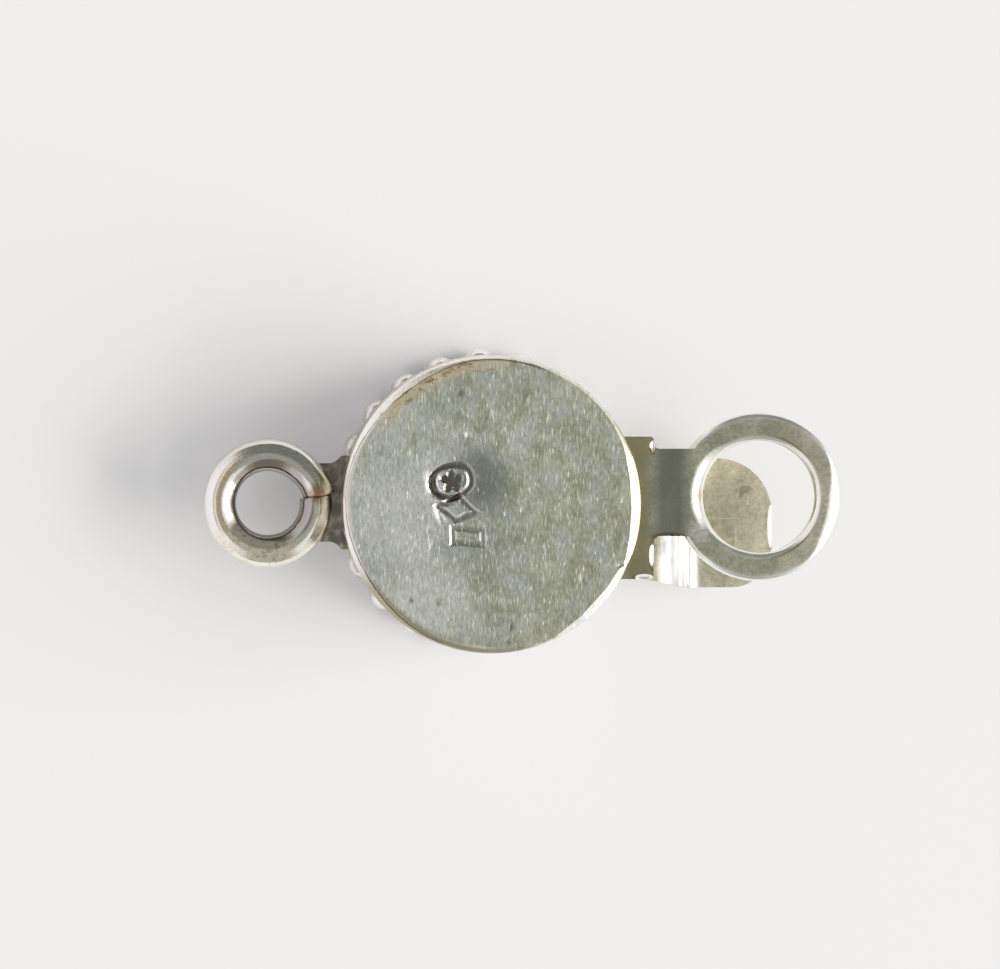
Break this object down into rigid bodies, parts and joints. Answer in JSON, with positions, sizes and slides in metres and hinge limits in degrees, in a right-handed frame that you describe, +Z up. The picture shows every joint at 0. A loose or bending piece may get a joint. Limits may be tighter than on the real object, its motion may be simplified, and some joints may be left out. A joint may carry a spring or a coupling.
{
  "type": "box clasp",
  "caption": "Round silver box clasp with a granulated front, a ring on its box and a slide-in spring tongue with a thumb press and a large ring.",
  "frame": {"origin": "on the table, under the middle of the clasp's length and width", "axes": "+X along the clasp, the way the tongue leaves the box; +Z up, out of the back plate; the granulated front is down"},
  "size_m": [0.0216, 0.0104, 0.005],
  "materials": {
    "case_silver": "worn silver with tarnish between the granules",
    "plate_silver": "brushed and scratched silver, mottled grey-green",
    "wire_silver": "polished worn silver wire with brown tarnish",
    "tongue_silver": "satin worn silver",
    "press_silver": "satin silver, warm tarnish and fine scratches"
  },
  "bodies": {
    "case": {"front_plate": "case_silver", "side_band": "case_silver", "back_plate": "plate_silver", "box_ring": "wire_silver"},
    "tongue": {"tongue": "tongue_silver"},
    "leaf": {"spring_leaf": "press_silver", "thumb_press": "press_silver"}
  },
  "joints": [
    {"name": "tongue_slide", "type": "slide", "parent": "case", "child": "tongue", "axis": [1, 0, 0], "range_m": [0, 0.0092], "deforming": ["spring_leaf"]},
    {"name": "leaf_press", "type": "hinge", "parent": "tongue", "child": "leaf", "pos_m": [-0.00412, 0, 0.00386], "axis": [0, -1, 0], "range_deg": [0, 7.5], "stiffness_Nm_per_rad": 0.1}
  ]
}
